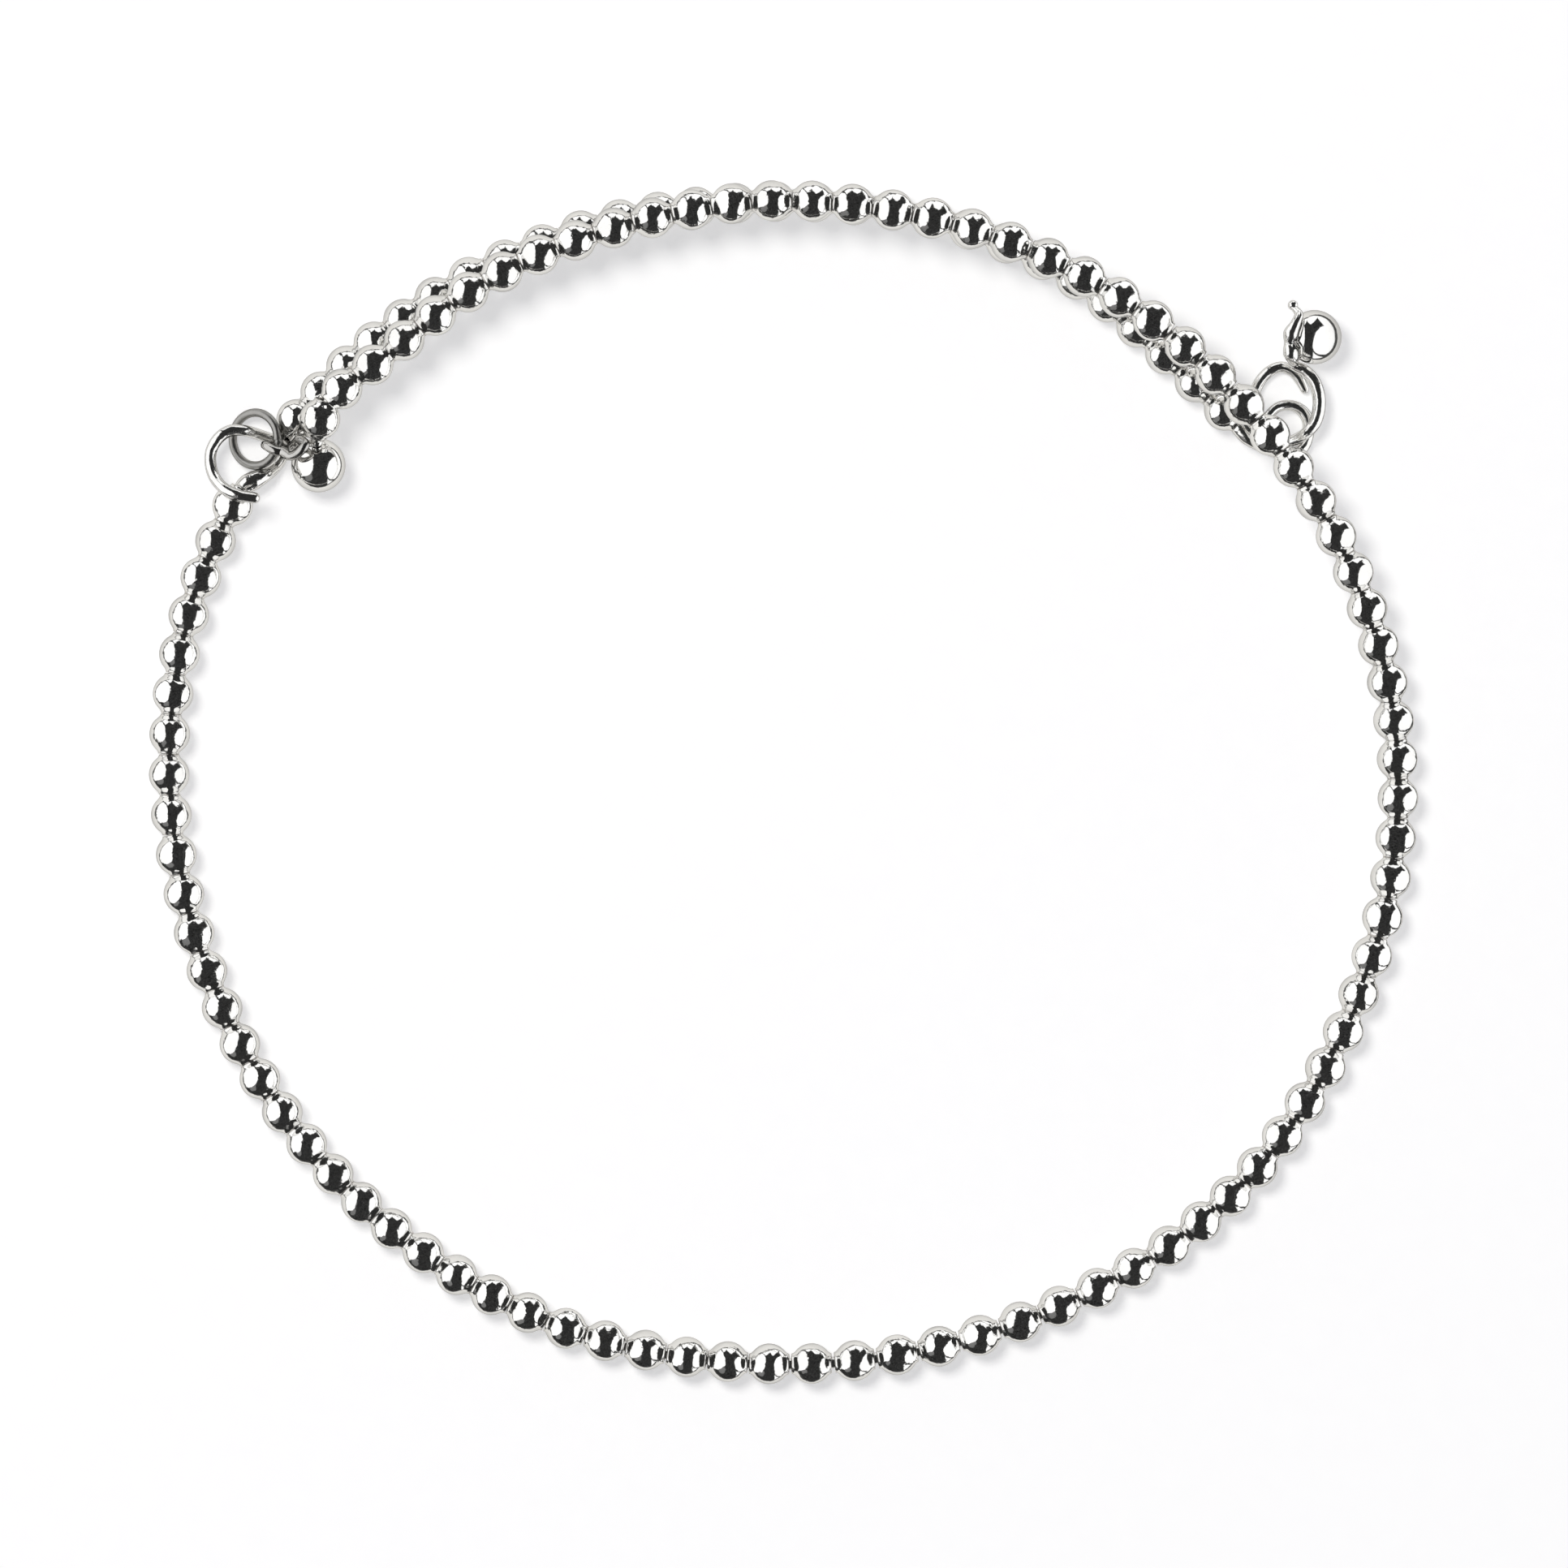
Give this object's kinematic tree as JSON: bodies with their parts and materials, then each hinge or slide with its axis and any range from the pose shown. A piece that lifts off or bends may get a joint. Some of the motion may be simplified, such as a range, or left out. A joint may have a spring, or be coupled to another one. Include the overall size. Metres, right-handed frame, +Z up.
{
  "type": "beaded coil bracelet",
  "caption": "Spring-wire bracelet of round polished metal beads: its ends overlap, a small ring links their wire eyes, one free end has a ball and the other carries a ball drop on a ring",
  "frame": {"origin": "middle of the footprint, on the table the bracelet lies on", "axes": "+Z up, away from the table; +X to the right of the picture, towards the ball drop; +Y to the top of the picture, where the two strands lie over each other"},
  "size_m": [0.0652, 0.0618, 0.0042],
  "materials": {
    "silver_beads": "polished silver",
    "silver_wire": "polished silver"
  },
  "bodies": {
    "root": {"long_strand": "silver_beads", "short_strand": "silver_beads", "long_strand_eye": "silver_wire", "short_strand_eye": "silver_wire", "drop_eye": "silver_wire", "link_ring": "silver_wire", "drop_ring": "silver_wire", "drop_pin": "silver_wire", "end_ball": "silver_beads", "drop_ball": "silver_beads"}
  },
  "joints": []
}
